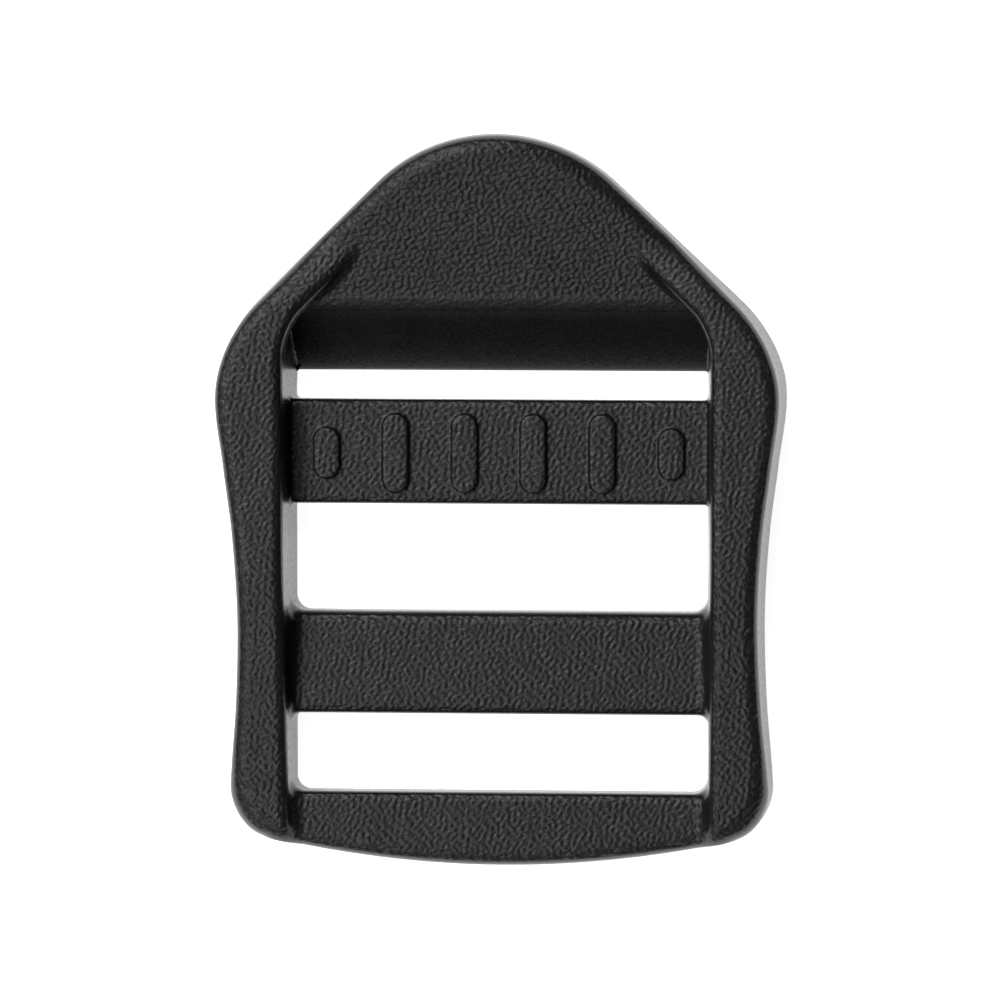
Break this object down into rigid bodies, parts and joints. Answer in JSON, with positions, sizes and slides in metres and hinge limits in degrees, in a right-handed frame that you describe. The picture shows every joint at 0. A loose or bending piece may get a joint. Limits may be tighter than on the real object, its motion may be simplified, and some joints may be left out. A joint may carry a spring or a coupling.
{
  "type": "ladder lock webbing buckle",
  "caption": "One-piece moulded ladder lock buckle: two raised side rails, a thumb tab, a ribbed grip bar, a middle bar and a bowed end bar, with cross slots for strap webbing.",
  "frame": {"origin": "middle of the bounding box in plan, on the flat back face", "axes": "+Z out of the front face, +Y toward the tip of the thumb tab, +X right as seen from the front with the tab up"},
  "size_m": [0.036, 0.0466, 0.008],
  "materials": {
    "moulded_plastic": "near-black moulded plastic with a coarse spark-eroded grain on its front faces"
  },
  "bodies": {
    "root": {"left_rail": "moulded_plastic", "right_rail": "moulded_plastic", "thumb_tab": "moulded_plastic", "grip_bar": "moulded_plastic", "middle_bar": "moulded_plastic", "end_bar": "moulded_plastic", "grip_rib_1": "moulded_plastic", "grip_rib_2": "moulded_plastic", "grip_rib_3": "moulded_plastic", "grip_rib_4": "moulded_plastic", "grip_rib_5": "moulded_plastic", "grip_rib_6": "moulded_plastic"}
  },
  "joints": []
}
